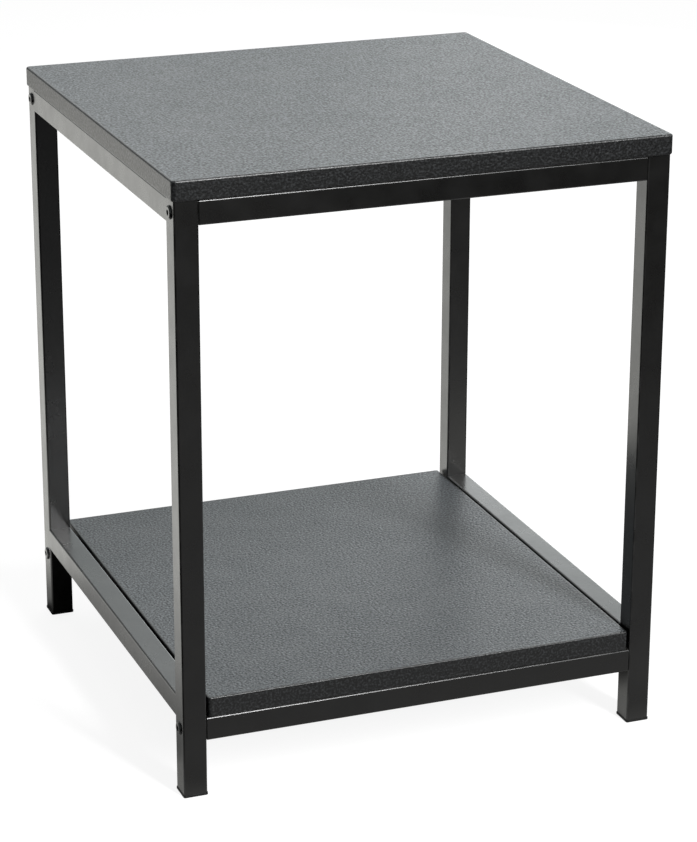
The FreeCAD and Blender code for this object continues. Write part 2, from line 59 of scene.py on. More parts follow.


# %% [markdown]
# ## The camera
#
# A table is best shown from a little above and from one corner, with a long lens, so that its legs stay
# almost upright. The camera is placed at a point and aimed by two angles and a small roll, which are easy
# to change by hand.
# It is turned by a matrix whose columns are its right, its up and its backward direction.

# %% Place the camera
FRAME_PIXELS = (697, 842)
SENSOR_SIZE = 36.0
FOCAL_PIXELS = 2860.1
CAMERA_PLACE = Vector((-0.7929, -2.0866, 1.0135))
LOOK_RIGHT = math.radians(21.11)
LOOK_DOWN = math.radians(19.63)
CAMERA_ROLL = math.radians(0.149)

camera_data = bpy.data.cameras.new("camera")
camera_data.sensor_width = SENSOR_SIZE
camera_data.lens = FOCAL_PIXELS * SENSOR_SIZE / max(FRAME_PIXELS)
camera_data.clip_start, camera_data.clip_end = 0.05, 50.0
camera = bpy.data.objects.new("camera", camera_data)
bpy.context.scene.collection.objects.link(camera)

level_ahead = Vector((math.sin(LOOK_RIGHT), math.cos(LOOK_RIGHT), 0.0))
level_right = Vector((math.cos(LOOK_RIGHT), -math.sin(LOOK_RIGHT), 0.0))
straight_up = Vector((0.0, 0.0, 1.0))
ahead = level_ahead * math.cos(LOOK_DOWN) - straight_up * math.sin(LOOK_DOWN)
up = straight_up * math.cos(LOOK_DOWN) + level_ahead * math.sin(LOOK_DOWN)
rolled_right = level_right * math.cos(CAMERA_ROLL) + up * math.sin(CAMERA_ROLL)
rolled_up = up * math.cos(CAMERA_ROLL) - level_right * math.sin(CAMERA_ROLL)
turn = Matrix((rolled_right, rolled_up, -ahead)).transposed()
camera.matrix_world = Matrix.Translation(CAMERA_PLACE) @ turn.to_4x4()
bpy.context.scene.camera = camera
bpy.context.scene.view_settings.view_transform = "Standard"
print("lens in mm:", round(camera_data.lens, 1))


# %% [markdown]
# ## Helpers for node materials
#
# A material is a small network of nodes. Two helpers keep the cells short: one adds a node and fills its
# inputs with numbers, colours or the outputs of other nodes, and one opens a new node group. A group is
# an effect that several finishes share, and each finish gives it its own values.

# %% Node helpers
def add(tree, kind, inputs=(), **settings):
    """Adds a node. Each input takes a number, a colour, or the output of another node."""
    node = tree.nodes.new(kind)
    for name, value in settings.items():
        setattr(node, name, value)
    for key, value in dict(inputs).items():
        if isinstance(value, bpy.types.NodeSocket):
            tree.links.new(value, node.inputs[key])
        else:
            node.inputs[key].default_value = value
    return node


def maths(tree, operation, *values, clamp=False):
    """A Math node's output."""
    inputs = dict(enumerate(values))
    return add(tree, "ShaderNodeMath", inputs, operation=operation, use_clamp=clamp).outputs[0]


def times(tree, first, second):
    return maths(tree, "MULTIPLY", first, second)


def largest(tree, first, *others):
    for other in others:
        first = maths(tree, "MAXIMUM", first, other)
    return first


def rest_of(tree, share):
    """What is left of 1 after a share."""
    return maths(tree, "SUBTRACT", 1.0, share)


def remap(tree, value, low, high, to_low=0.0, to_high=1.0, smooth=False):
    """A value brought from one range to another, and kept inside it."""
    inputs = {"Value": value, "From Min": low, "From Max": high, "To Min": to_low, "To Max": to_high}
    kind = "SMOOTHSTEP" if smooth else "LINEAR"
    return add(tree, "ShaderNodeMapRange", inputs, interpolation_type=kind).outputs["Result"]


def blend_colours(tree, share, first, second):
    """A colour that goes from the first to the second as the share goes from 0 to 1."""
    node = add(tree, "ShaderNodeMix", data_type="RGBA")
    for key, value in ((0, share), (6, first), (7, second)):
        if isinstance(value, bpy.types.NodeSocket):
            tree.links.new(value, node.inputs[key])
        else:
            node.inputs[key].default_value = value
    return node.outputs[2]


def grey(value, red=1.0, blue=1.0):
    """A grey whose red and blue shares can be a little above or below its green."""
    return (value * red, value, value * blue, 1.0)


def open_group(name, inputs, outputs):
    """A new node group with named number inputs and outputs, and its two end nodes."""
    tree = bpy.data.node_groups.new(name, "ShaderNodeTree")
    for label, value in inputs.items():
        socket = tree.interface.new_socket(label, in_out="INPUT", socket_type="NodeSocketFloat")
        socket.default_value = value
    for label in outputs:
        tree.interface.new_socket(label, in_out="OUTPUT", socket_type="NodeSocketFloat")
    return tree, tree.nodes.new("NodeGroupInput").outputs, tree.nodes.new("NodeGroupOutput").inputs


def use_group(tree, group, **values):
    """A group placed in a material, with its own values."""
    node = tree.nodes.new("ShaderNodeGroup")
    node.node_tree = group
    for label, value in values.items():
        socket = node.inputs[label.replace("_", " ")]
        if isinstance(value, bpy.types.NodeSocket):
            tree.links.new(value, socket)
        else:
            socket.default_value = value
    return node.outputs


# %% [markdown]
# ## Effects that several finishes share
#
# Four effects come back on more than one finish:
#
# - **drift**: broad, faint clouds, because no coat is laid on perfectly evenly;
# - **grain**: the small bumps of a pressed or sprayed skin, with flecks that catch the light;
# - **rubbed corners**: where the surface turns, hands and packing polish it;
# - **dust**: a thin film that settles on what faces up.
#
# All of them are read from the object's own coordinates in metres, so their size is real.

# %% Drift
drift_group, drift_in, drift_out = open_group("drift", {"Patch Size": 0.1}, ["Clouds", "Streaks"])
position = add(drift_group, "ShaderNodeTexCoord").outputs["Object"]
per_metre = maths(drift_group, "DIVIDE", 1.0, drift_in["Patch Size"])
clouds = add(drift_group, "ShaderNodeTexNoise", {"Vector": position, "Scale": per_metre, "Detail": 3.0})
finer = times(drift_group, per_metre, 4.0)
streaks = add(drift_group, "ShaderNodeTexNoise", {"Vector": position, "Scale": finer, "Detail": 4.0})
drift_group.links.new(remap(drift_group, clouds.outputs["Fac"], 0.3, 0.7), drift_out["Clouds"])
drift_group.links.new(remap(drift_group, streaks.outputs["Fac"], 0.35, 0.65), drift_out["Streaks"])

# %% Grain
grain_group, grain_in, grain_out = open_group("grain", {"Grain Size": 0.001}, ["Height", "Flecks"])
position = add(grain_group, "ShaderNodeTexCoord").outputs["Object"]
per_metre = maths(grain_group, "DIVIDE", 1.0, grain_in["Grain Size"])
pebbles = add(
    grain_group, "ShaderNodeTexVoronoi", {"Vector": position, "Scale": per_metre}, feature="SMOOTH_F1"
)
soft = add(grain_group, "ShaderNodeTexNoise", {"Vector": position, "Scale": per_metre, "Detail": 2.0})
height = maths(grain_group, "SUBTRACT", soft.outputs["Fac"], pebbles.outputs["Distance"])
grain_group.links.new(remap(grain_group, height, -0.4, 0.4), grain_out["Height"])
grain_group.links.new(remap(grain_group, soft.outputs["Fac"], 0.35, 0.65), grain_out["Flecks"])

# %% Rubbed corners
corner_group, corner_in, corner_out = open_group("rubbed_corners", {"Patch Size": 0.02}, ["Rubbed"])
facing = add(corner_group, "ShaderNodeTexCoord").outputs["Normal"]
along = add(corner_group, "ShaderNodeSeparateXYZ", {"Vector": facing}).outputs
longest = largest(corner_group, *(maths(corner_group, "ABSOLUTE", along[axis]) for axis in "XYZ"))
corner = remap(corner_group, longest, 0.99, 0.85)
position = add(corner_group, "ShaderNodeTexCoord").outputs["Object"]
per_metre = maths(corner_group, "DIVIDE", 1.0, corner_in["Patch Size"])
patches = add(corner_group, "ShaderNodeTexNoise", {"Vector": position, "Scale": per_metre, "Detail": 5.0})
rubbed = times(corner_group, corner, remap(corner_group, patches.outputs["Fac"], 0.45, 0.7))
corner_group.links.new(rubbed, corner_out["Rubbed"])

# %% Dust
dust_group, dust_in, dust_out = open_group("settled_dust", {"Patch Size": 0.05}, ["Dust"])
facing = add(dust_group, "ShaderNodeTexCoord").outputs["Normal"]
upward = add(dust_group, "ShaderNodeSeparateXYZ", {"Vector": facing}).outputs["Z"]
position = add(dust_group, "ShaderNodeTexCoord").outputs["Object"]
per_metre = maths(dust_group, "DIVIDE", 1.0, dust_in["Patch Size"])
film = add(dust_group, "ShaderNodeTexNoise", {"Vector": position, "Scale": per_metre, "Detail": 6.0})
patchy = remap(dust_group, film.outputs["Fac"], 0.35, 0.75)
dust = times(dust_group, remap(dust_group, upward, 0.6, 0.95), patchy)
dust_group.links.new(dust, dust_out["Dust"])
print("shared effects:", [group.name for group in bpy.data.node_groups])

# %% [markdown]
# ## The powder-coated frame
#
# The tubes are sprayed with black powder that is melted into a smooth, satin skin about 0.07 mm thick.
# It is almost black by itself. What the eye sees is mostly its sheen: a clear but soft reflection that
# gets strong at a flat angle. So the colour stays dark, and the roughness carries the drift of the coat.
# A very low orange peel, some millimetres across, bends the reflections slightly.

# %% Powder coat
def open_material(name):
    """A new node material, and its surface shader."""
    material = bpy.data.materials.new(name)
    material.use_nodes = True
    return material, material.node_tree, material.node_tree.nodes["Principled BSDF"]


def bump(tree, height, distance, below=None):
    """A Bump node's normal; distance is the height of the relief in metres."""
    inputs = {"Height": height, "Distance": distance}
    if below is not None:
        inputs["Normal"] = below
    return add(tree, "ShaderNodeBump", inputs).outputs["Normal"]


def set_shader(tree, shader, links, **values):
    """Links that change over the surface, and values that stay the same all over it."""
    for label, output in links.items():
        tree.links.new(output, shader.inputs[label])
    for label, value in values.items():
        shader.inputs[label.replace("_", " ")].default_value = value


powder_coat, tree, shader = open_material("powder_coat")
drift = use_group(tree, drift_group, Patch_Size=0.09)
peel = use_group(tree, grain_group, Grain_Size=0.004)
corner = use_group(tree, corner_group, Patch_Size=0.015)
dust = use_group(tree, dust_group, Patch_Size=0.03)
colour = blend_colours(tree, drift["Clouds"], grey(0.0026, 1.04, 0.92), grey(0.0050, 1.04, 0.92))
colour = blend_colours(tree, times(tree, corner["Rubbed"], 0.4), colour, grey(0.06))
colour = blend_colours(tree, times(tree, dust["Dust"], 0.08), colour, grey(0.25, 1.05, 0.95))
roughness = remap(tree, drift["Streaks"], 0.0, 1.0, 0.26, 0.34)
set_shader(
    tree,
    shader,
    {"Base Color": colour, "Roughness": roughness, "Normal": bump(tree, peel["Height"], 0.00002)},
    Coat_Weight=0.62,
    Coat_Roughness=0.22,
)

# %% [markdown]
# ## The boards
#
# The laminate is a printed paper under hard resin, pressed against a plate with a fine leather-like
# grain. Each pebble of that grain is about a millimetre wide and catches the light on one side, so the
# board looks dark from the front and grey at a flat angle.

# %% Laminate
laminate, tree, shader = open_material("laminate")
grain = use_group(tree, grain_group, Grain_Size=0.0018)
coarse = use_group(tree, grain_group, Grain_Size=0.0031)
drift = use_group(tree, drift_group, Patch_Size=0.16)
dust = use_group(tree, dust_group, Patch_Size=0.04)
colour = blend_colours(tree, grain["Flecks"], grey(0.004, 0.9, 1.08), grey(0.136, 0.9, 1.08))
colour = blend_colours(tree, times(tree, drift["Clouds"], 0.12), colour, grey(0.10, 0.9, 1.08))
colour = blend_colours(tree, times(tree, dust["Dust"], 0.08), colour, grey(0.35))
roughness = remap(tree, grain["Flecks"], 0.0, 1.0, 0.50, 0.36)
normal = bump(tree, coarse["Height"], 0.00004)
normal = bump(tree, grain["Height"], 0.00028, below=normal)
set_shader(tree, shader, {"Base Color": colour, "Roughness": roughness, "Normal": normal})

# %% [markdown]
# ## The edge band
#
# The cut sides of a board are hidden by a band of the same texture, 2 mm thick, that is glued on and then
# trimmed and rounded by a cutter. It faces the side, so it mirrors the dark room and looks darker than
# the laminate on top; its colour is also set far darker than the laminate's, which is painted shade on
# the board's sides. Its flecks show as a few lighter grains. The rounded edge is rubbed a little
# paler, most of all at the corners, where the table is held when it is carried.

# %% Edge band
edge_band, tree, shader = open_material("edge_band")
grain = use_group(tree, grain_group, Grain_Size=0.0018)
drift = use_group(tree, drift_group, Patch_Size=0.12)
corner = use_group(tree, corner_group, Patch_Size=0.01)
glints = remap(tree, grain["Flecks"], 0.4, 1.0)
# Painted shade: the band's colour is far darker than the laminate's, so the board's sides read darker than
# its top.
colour = blend_colours(tree, glints, grey(0.001, 0.95, 1.05), grey(0.032, 0.95, 1.05))
colour = blend_colours(tree, times(tree, drift["Clouds"], 0.1), colour, grey(0.02))
colour = blend_colours(tree, times(tree, corner["Rubbed"], 0.15), colour, grey(0.08))
roughness = remap(tree, grain["Flecks"], 0.0, 1.0, 0.44, 0.32)
normal = bump(tree, grain["Height"], 0.0002)
set_shader(
    tree,
    shader,
    {"Base Color": colour, "Roughness": roughness, "Normal": normal},
    Coat_Weight=0.35,
    Coat_Roughness=0.3,
)

# %% [markdown]
# ## Bolts, screws and foot plugs
#
# The bolts have a black oxide skin with a little oil in it: very dark, with a narrow, clear sheen. The
# screws under the boards are zinc-plated, so they are a real metal with a pale, slightly uneven surface.
# The foot plugs are moulded from black plastic, whose mould was lightly etched: a dull, fine-grained skin.

# %% Hardware finishes
bolt_black, tree, shader = open_material("bolt_black")
drift = use_group(tree, drift_group, Patch_Size=0.004)
colour = blend_colours(tree, drift["Clouds"], grey(0.002), grey(0.005))
roughness = remap(tree, drift["Streaks"], 0.0, 1.0, 0.22, 0.30)
set_shader(
    tree, shader, {"Base Color": colour, "Roughness": roughness}, Coat_Weight=0.6, Coat_Roughness=0.2
)

zinc, tree, shader = open_material("zinc_plate")
drift = use_group(tree, drift_group, Patch_Size=0.004)
colour = blend_colours(tree, drift["Clouds"], grey(0.46, 0.98, 1.02), grey(0.62, 1.03, 0.97))
roughness = remap(tree, drift["Streaks"], 0.0, 1.0, 0.28, 0.42)
set_shader(tree, shader, {"Base Color": colour, "Roughness": roughness}, Metallic=1.0)

plug_plastic, tree, shader = open_material("plug_plastic")
grain = use_group(tree, grain_group, Grain_Size=0.0006)
drift = use_group(tree, drift_group, Patch_Size=0.02)
colour = blend_colours(tree, drift["Clouds"], grey(0.003), grey(0.006))
roughness = remap(tree, drift["Streaks"], 0.0, 1.0, 0.42, 0.55)
set_shader(
    tree,
    shader,
    {"Base Color": colour, "Roughness": roughness, "Normal": bump(tree, grain["Height"], 0.00001)},
)

# %% Lay the finishes on the construction
FINISH_OF_SLOT = {
    "frame_paint": powder_coat,
    "board_laminate": laminate,
    "edge_band": edge_band,
    "bolt_finish": bolt_black,
    "screw_steel": zinc,
    "plug_plastic": plug_plastic,
}
for part in frame["record"]["subparts"]:
    node = nodes[part["node"]]
    for material_slot in node.material_slots:
        material_slot.material = FINISH_OF_SLOT[part["material_slot"]]
print("nodes with a finish:", len(nodes))


# %% [markdown]
# ## Helpers for modelling the small hardware
#
# The bolts and screws are turned parts, so they are modelled as on a lathe: half an outline is drawn by
# extruding one vertex from point to point, and is then spun round the axis. What a lathe can't do, such
# as a hexagon socket, is cut afterwards with a second shape. One of each is modelled at the origin, with
# its head upwards. Copies then get their place, and it is applied, so that it is in their mesh.

# %% Modelling helpers
import bmesh

def start_piece(name):
    """The new primitive, named, with all of it selected in edit mode."""
    piece = bpy.context.object
    piece.name = name
    bpy.ops.object.mode_set(mode="EDIT")
    bpy.ops.mesh.select_mode(type="VERT")
    bpy.ops.mesh.select_all(action="SELECT")
    return piece


def close_up(piece, smooth_below):
    """Merges doubles, points the faces outwards, and shades flat only where the surface turns sharply."""
    bpy.ops.mesh.select_all(action="SELECT")
    bpy.ops.mesh.remove_doubles(threshold=0.01 * MM)
    bpy.ops.mesh.normals_make_consistent(inside=False)
    bpy.ops.object.mode_set(mode="OBJECT")
    bpy.ops.object.shade_smooth_by_angle(angle=math.radians(smooth_below))
    return piece


def turned_part(name, outline, steps=48):
    """Spins half an outline, given as (radius, height) in mm from the axis and back to it."""
    bpy.ops.object.select_all(action="DESELECT")
    bpy.ops.mesh.primitive_plane_add(size=MM, location=(0.0, 0.0, 0.0))
    piece = start_piece(name)
    bpy.ops.mesh.merge(type="CENTER")
    here = Vector()
    for number, (radius, height) in enumerate(outline):
        there = Vector((radius, 0.0, height)) * MM
        if number == 0:
            bpy.ops.transform.translate(value=there - here)
        else:
            bpy.ops.mesh.extrude_vertices_move(TRANSFORM_OT_translate={"value": there - here})
        here = there
    bpy.ops.mesh.select_all(action="SELECT")
    bpy.ops.mesh.spin(steps=steps, angle=math.tau, center=(0.0, 0.0, 0.0), axis=(0.0, 0.0, 1.0))
    return close_up(piece, smooth_below=35)


def arc(start, end, radius, count=6):
    """Points on an arc that swells away from the axis, its end among them but not its start."""
    start, end = Vector(start), Vector(end)
    half = (end - start) / 2
    outwards = Vector((half.y, -half.x)).normalized()
    centre = start + half - outwards * math.sqrt(radius**2 - half.length_squared)
    first = math.atan2(*reversed(start - centre))
    last = math.atan2(*reversed(end - centre))
    angles = [first + (last - first) * step / count for step in range(1, count + 1)]
    return [(centre.x + radius * math.cos(angle), centre.y + radius * math.sin(angle)) for angle in angles]


def thread(crest, root, start, end, pitch):
    """The outline of a thread as rings, from a lower to a higher place."""
    points = []
    for turn in range(int((end - start) / pitch)):
        low = start + turn * pitch
        points += [(crest, low + 0.40 * pitch), (crest, low + 0.55 * pitch), (root, low + 0.95 * pitch)]
    return points


def cut(piece, cutter):
    """Takes the cutter's shape out of the piece."""
    modifier = piece.modifiers.new("cut", "BOOLEAN")
    modifier.operation, modifier.object, modifier.solver = "DIFFERENCE", cutter, "EXACT"
    bpy.context.view_layer.objects.active = piece
    bpy.ops.object.modifier_apply(modifier=modifier.name)
    bpy.data.objects.remove(cutter)


def soften_rim(piece, height, reach, width):
    """Bevels the edges that lie at a height, nearer to the axis than the reach."""
    bpy.ops.object.select_all(action="DESELECT")
    piece.select_set(True)
    bpy.context.view_layer.objects.active = piece
    bpy.ops.object.mode_set(mode="EDIT")
    bpy.ops.mesh.select_all(action="DESELECT")
    bpy.ops.mesh.select_mode(type="EDGE")
    shape = bmesh.from_edit_mesh(piece.data)
    for edge in shape.edges:
        level = all(abs(corner.co.z - height) < 0.01 * MM for corner in edge.verts)
        near = all(corner.co.xy.length < reach for corner in edge.verts)
        steep = len(edge.link_faces) == 2 and edge.calc_face_angle(0.0) > math.radians(30)
        edge.select_set(level and near and steep)
    bpy.ops.mesh.bevel(offset=width, segments=2, affect="EDGES")
    return close_up(piece, smooth_below=35)


def set_copies(master, node_name, finish, places):
    """Copies of a piece at places that are given as (number, location, turn), each with its own mesh."""
    for number, location, rotation in places:
        piece = master.copy()
        piece.data = master.data.copy()
        piece.name = f"{master.name}_{number}"
        bpy.context.scene.collection.objects.link(piece)
        piece.matrix_world = Matrix.Translation(location) @ rotation.to_4x4()
        bpy.ops.object.select_all(action="DESELECT")
        piece.select_set(True)
        bpy.context.view_layer.objects.active = piece
        bpy.ops.object.transform_apply(location=True, rotation=True, scale=True)
        piece.data.materials.clear()
        piece.data.materials.append(finish)
        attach(piece, "root")
        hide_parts(node_name)
    print(f"{master.name}: {len(places)} copies of {len(master.data.polygons)} faces")
    bpy.data.objects.remove(master)


# %% [markdown]
# ## Frame bolts
#
# Eight M6 bolts pull the cross rails against the legs. The head is low: a flat face, a rounding and a
# short straight rim, with a 4 mm hexagon socket. The shank is threaded all the way. The thread is made
# of rings: it sits inside the tube and the nut, where a true spiral would cost a lot and show nothing.

# %% Model the bolt
BOLT = {"shank": 3.0, "root": 2.5, "length": 30.0, "head": 5.25, "rim": 0.4, "flat": 3.9, "height": 1.6}
SOCKET_FLATS, SOCKET_DEPTH = 4.0, 2.0

outline = [(0.0, -BOLT["length"]), (BOLT["root"] - 0.3, -BOLT["length"])]
outline += [(BOLT["root"], 0.6 - BOLT["length"])]
outline += thread(BOLT["shank"], BOLT["root"], 0.7 - BOLT["length"], -1.5, pitch=1.0)
outline += [(BOLT["root"], -1.2), (BOLT["shank"], -0.8), (BOLT["shank"], 0.0)]
outline += [(BOLT["head"] - 0.2, 0.0), (BOLT["head"], 0.2), (BOLT["head"], BOLT["rim"])]
outline += arc((BOLT["head"], BOLT["rim"]), (BOLT["flat"], BOLT["height"]), radius=1.5, count=8)
outline += [(0.0, BOLT["height"])]
bolt = turned_part("frame_bolt", outline)

bpy.ops.object.select_all(action="DESELECT")
bpy.ops.mesh.primitive_cylinder_add(
    vertices=6,
    radius=SOCKET_FLATS / math.sqrt(3) * MM,
    depth=2 * SOCKET_DEPTH * MM,
    location=(0.0, 0.0, BOLT["height"] * MM),
)
cut(bolt, bpy.context.object)
soften_rim(bolt, BOLT["height"] * MM, reach=(BOLT["flat"] - 0.1) * MM, width=0.12 * MM)

# %% Set the bolts
outer_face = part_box("leg_front_right")[1].x
bolt_places = []
for rail in ("upper_front", "upper_back", "lower_front", "lower_back"):
    low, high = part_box(f"cross_rail_{rail}")
    middle = (low + high) / 2
    for side in (-1, 1):
        number = len(bolt_places) + 1
        lean = Matrix.Rotation(side * math.pi / 2, 3, "Y") @ Matrix.Rotation(0.7 * number, 3, "Z")
        bolt_places.append((number, Vector((side * outer_face, middle.y, middle.z)), lean))
set_copies(bolt, "frame_bolts", bolt_black, bolt_places)

# %% [markdown]
# ## Board screws
#
# Four low pan-head screws come up through the rails into each board. They are short wood screws: a cross
# recess, a coarse thread with sharp crests, and a point. The recess is cut with a cross that narrows.

# %% Model the screw
SCREW = {"shank": 2.0, "root": 1.35, "length": 30.0, "head": 3.8, "rim": 0.5, "flat": 2.5, "height": 1.6}
RECESS_LENGTH, RECESS_WIDTH, RECESS_DEPTH = 4.0, 1.0, 1.2

outline = [(0.0, -SCREW["length"]), (SCREW["root"] * 0.5, 1.6 - SCREW["length"])]
outline += [(SCREW["root"], 4.0 - SCREW["length"])]
outline += thread(SCREW["shank"], SCREW["root"], 4.2 - SCREW["length"], -14.0, pitch=1.8)
outline += [(SCREW["shank"] - 0.3, -13.2), (SCREW["shank"] - 0.3, -0.6), (SCREW["shank"], 0.0)]
outline += [(SCREW["head"] - 0.15, 0.0), (SCREW["head"], 0.15), (SCREW["head"], SCREW["rim"])]
outline += arc((SCREW["head"], SCREW["rim"]), (SCREW["flat"], SCREW["height"]), radius=1.5, count=6)
outline += [(0.0, SCREW["height"])]
screw = turned_part("board_screw", outline, steps=32)
for turn in (0.0, math.pi / 2):
    bpy.ops.object.select_all(action="DESELECT")
    bpy.ops.mesh.primitive_cube_add(size=1.0, location=(0.0, 0.0, SCREW["height"] * MM))
    blade = start_piece("recess_blade")
    bpy.ops.transform.resize(value=(RECESS_LENGTH * MM, RECESS_WIDTH * MM, 2 * RECESS_DEPTH * MM))
    bpy.ops.mesh.select_all(action="DESELECT")
    shape = bmesh.from_edit_mesh(blade.data)
    next(face for face in shape.faces if face.normal.z < -0.9).select_set(True)
    bpy.ops.transform.resize(value=(0.45, 0.6, 1.0))
    bpy.ops.object.mode_set(mode="OBJECT")
    blade.rotation_euler.z = turn
    cut(screw, blade)

# %% Set the screws
SCREW_SPACING = 0.2
for board, level in (("top", "upper"), ("shelf", "lower")):
    screw_places = []
    for end in ("front", "back"):
        low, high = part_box(f"cross_rail_{level}_{end}")
        for side in (-1, 1):
            number = len(screw_places) + 1
            spot = Vector((side * SCREW_SPACING / 2, (low.y + high.y) / 2, low.z))
            turn = Matrix.Rotation(math.pi, 3, "X") @ Matrix.Rotation(0.9 * number, 3, "Z")
            screw_places.append((number, spot, turn))
    master = screw.copy()
    master.data = screw.data.copy()
    master.name = f"{board}_screw"
    bpy.context.scene.collection.objects.link(master)
    set_copies(master, f"{board}_screws", zinc, screw_places)
bpy.data.objects.remove(screw)

# %% [markdown]
# ## Weld beads
#
# Under each end of a side rail runs a short fillet weld. A welder lays it drop by drop, so it swells and
# narrows in ripples and tapers at both ends. It is modelled as a round bar along X whose axis lies a
# little inside the tubes' corner: a circle is extruded in small steps, each a little wider or narrower
# than the last, and two bisects then leave only what bulges out of the corner. The ripples come from a
# seeded random generator, so they are always the same.

# %% Model the bead
import random

BEAD_LENGTH, RIPPLE_PITCH, RINGS = 16.0, 1.25, 60
AXIS_INSIDE, BAR_RADIUS, END_RADIUS, TAPER = 1.0, 3.7, 1.5, 2.2
dice = random.Random(7)
drops = [dice.uniform(-0.12, 0.12) for _ in range(int(BEAD_LENGTH / RIPPLE_PITCH) + 2)]


def bead_radius(distance):
    """The bar's radius in mm at a distance from its start: round at the ends, rippled between them."""
    rise = min(distance, BEAD_LENGTH - distance, TAPER) / TAPER
    drop, phase = divmod(distance / RIPPLE_PITCH, 1.0)
    crown = BAR_RADIUS - 0.30 * phase**2 + drops[int(drop)]
    return END_RADIUS + (crown - END_RADIUS) * math.sqrt(rise * (2.0 - rise))


bpy.ops.object.select_all(action="DESELECT")
bpy.ops.mesh.primitive_circle_add(
    vertices=40,
    radius=bead_radius(0.0) * MM,
    fill_type="NGON",
    location=(-BEAD_LENGTH / 2 * MM, -AXIS_INSIDE * MM, AXIS_INSIDE * MM),
    rotation=(0.0, math.pi / 2, 0.0),
)
bpy.ops.object.transform_apply(location=True, rotation=True, scale=True)
bead = start_piece("weld_bead")
for ring in range(1, RINGS + 1):
    before, now = BEAD_LENGTH * (ring - 1) / RINGS, BEAD_LENGTH * ring / RINGS
    bpy.ops.mesh.extrude_region_move(TRANSFORM_OT_translate={"value": ((now - before) * MM, 0.0, 0.0)})
    wider = bead_radius(now) / bead_radius(before)
    axis_spot = Vector((now - BEAD_LENGTH / 2, -AXIS_INSIDE, AXIS_INSIDE)) * MM
    bpy.ops.transform.resize(value=(1.0, wider, wider), center_override=axis_spot)
for away in ((0.0, -1.0, 0.0), (0.0, 0.0, 1.0)):
    bpy.ops.mesh.select_all(action="SELECT")
    bpy.ops.mesh.bisect(plane_co=(0, 0, 0), plane_no=away, use_fill=True, clear_outer=True, threshold=1e-7)
close_up(bead, smooth_below=50)

# %% Set the beads
for side in ("left", "right"):
    bead_places = []
    for level in ("upper", "lower"):
        low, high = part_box(f"side_rail_{level}_{side}")
        for end, turn in ((low.y, 0.0), (high.y, math.pi)):
            spot = Vector(((low.x + high.x) / 2, end, low.z))
            bead_places.append((len(bead_places) + 1, spot, Matrix.Rotation(turn, 3, "Z")))
    master = bead.copy()
    master.data = bead.data.copy()
    master.name = f"weld_bead_{side}"
    bpy.context.scene.collection.objects.link(master)
    set_copies(master, f"weld_beads_{side}", powder_coat, bead_places)
bpy.data.objects.remove(bead)

# %% [markdown]
# ## Foot plugs
#
# Each leg stands on a moulded plug. Its flange is a little wider than the tube and rounded where it
# meets the floor. Above it a hollow stem goes up the tube's bore, and thin fins round the stem grip the
# bore. A cube is sized, its upright edges are bevelled, and then its bottom edge. The stem grows out of
# the top face: each step extrudes the face and then makes it narrower or, for a fin, wider. The stem's
# last face is made smaller by the wall and pushed down again, which makes the stem hollow.

# %% Model the plug
FLANGE_SIDE, FLANGE_THICKNESS, FLANGE_CORNER, FLOOR_ROUNDING = 19.8, 2.0, 1.5, 0.6
STEM_SIDE, STEM_HEIGHT, STEM_WALL = 15.8, 14.0, 1.6
FIN_SIDE, FIN_THICKNESS, FIN_PITCH, FINS = 17.0, 1.0, 4.0, 3


def pick(piece, kind, wanted):
    """Selects only the edges or faces for which wanted(element) is true."""
    bpy.ops.mesh.select_mode(type=kind)
    bpy.ops.mesh.select_all(action="DESELECT")
    shape = bmesh.from_edit_mesh(piece.data)
    for element in shape.edges if kind == "EDGE" else shape.faces:
        if wanted(element):
            element.select_set(True)
    bmesh.update_edit_mesh(piece.data)


def grow(rise, side_ratio=1.0):
    """Extrudes the picked face upwards by a rise in mm, then makes it wider or narrower."""
    bpy.ops.mesh.extrude_region_move(TRANSFORM_OT_translate={"value": (0.0, 0.0, rise * MM)})
    if side_ratio != 1.0:
        bpy.ops.transform.resize(value=(side_ratio, side_ratio, 1.0), center_override=(0.0, 0.0, 0.0))


bpy.ops.object.select_all(action="DESELECT")
bpy.ops.mesh.primitive_cube_add(size=1.0, location=(0.0, 0.0, 0.0))
plug = start_piece("foot_plug")
bpy.ops.transform.resize(value=(FLANGE_SIDE * MM, FLANGE_SIDE * MM, FLANGE_THICKNESS * MM))
bpy.ops.transform.translate(value=(0.0, 0.0, FLANGE_THICKNESS / 2 * MM))
pick(plug, "EDGE", lambda edge: abs(edge.verts[0].co.z - edge.verts[1].co.z) > MM)
bpy.ops.mesh.bevel(offset=FLANGE_CORNER * MM, segments=6, affect="EDGES")
pick(plug, "EDGE", lambda edge: all(corner.co.z < 0.1 * MM for corner in edge.verts))
bpy.ops.mesh.bevel(offset=FLOOR_ROUNDING * MM, segments=4, affect="EDGES")
pick(plug, "FACE", lambda face: face.normal.z > 0.9)
grow(0.0, STEM_SIDE / FLANGE_SIDE)
risen = 0.0
for fin in range(FINS):
    fin_foot = (fin + 1) * FIN_PITCH
    grow(fin_foot - risen)
    grow(0.0, FIN_SIDE / STEM_SIDE)
    grow(FIN_THICKNESS)
    grow(0.0, STEM_SIDE / FIN_SIDE)
    risen = fin_foot + FIN_THICKNESS
grow(STEM_HEIGHT - risen)
grow(0.0, 1.0 - 2 * STEM_WALL / STEM_SIDE)
grow(-(STEM_HEIGHT - STEM_WALL))
close_up(plug, smooth_below=35)

# %% Set the plugs
for end in ("front", "back"):
    for side in ("left", "right"):
        low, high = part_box(f"foot_plug_{end}_{side}")
        spot = Vector(((low.x + high.x) / 2, (low.y + high.y) / 2, low.z))
        master = plug.copy()
        master.data = plug.data.copy()
        master.name = f"plug_{end}_{side}"
        bpy.context.scene.collection.objects.link(master)
        place = [(1, spot, Matrix.Identity(3))]
        set_copies(master, f"foot_plug_{end}_{side}", plug_plastic, place)
bpy.data.objects.remove(plug)
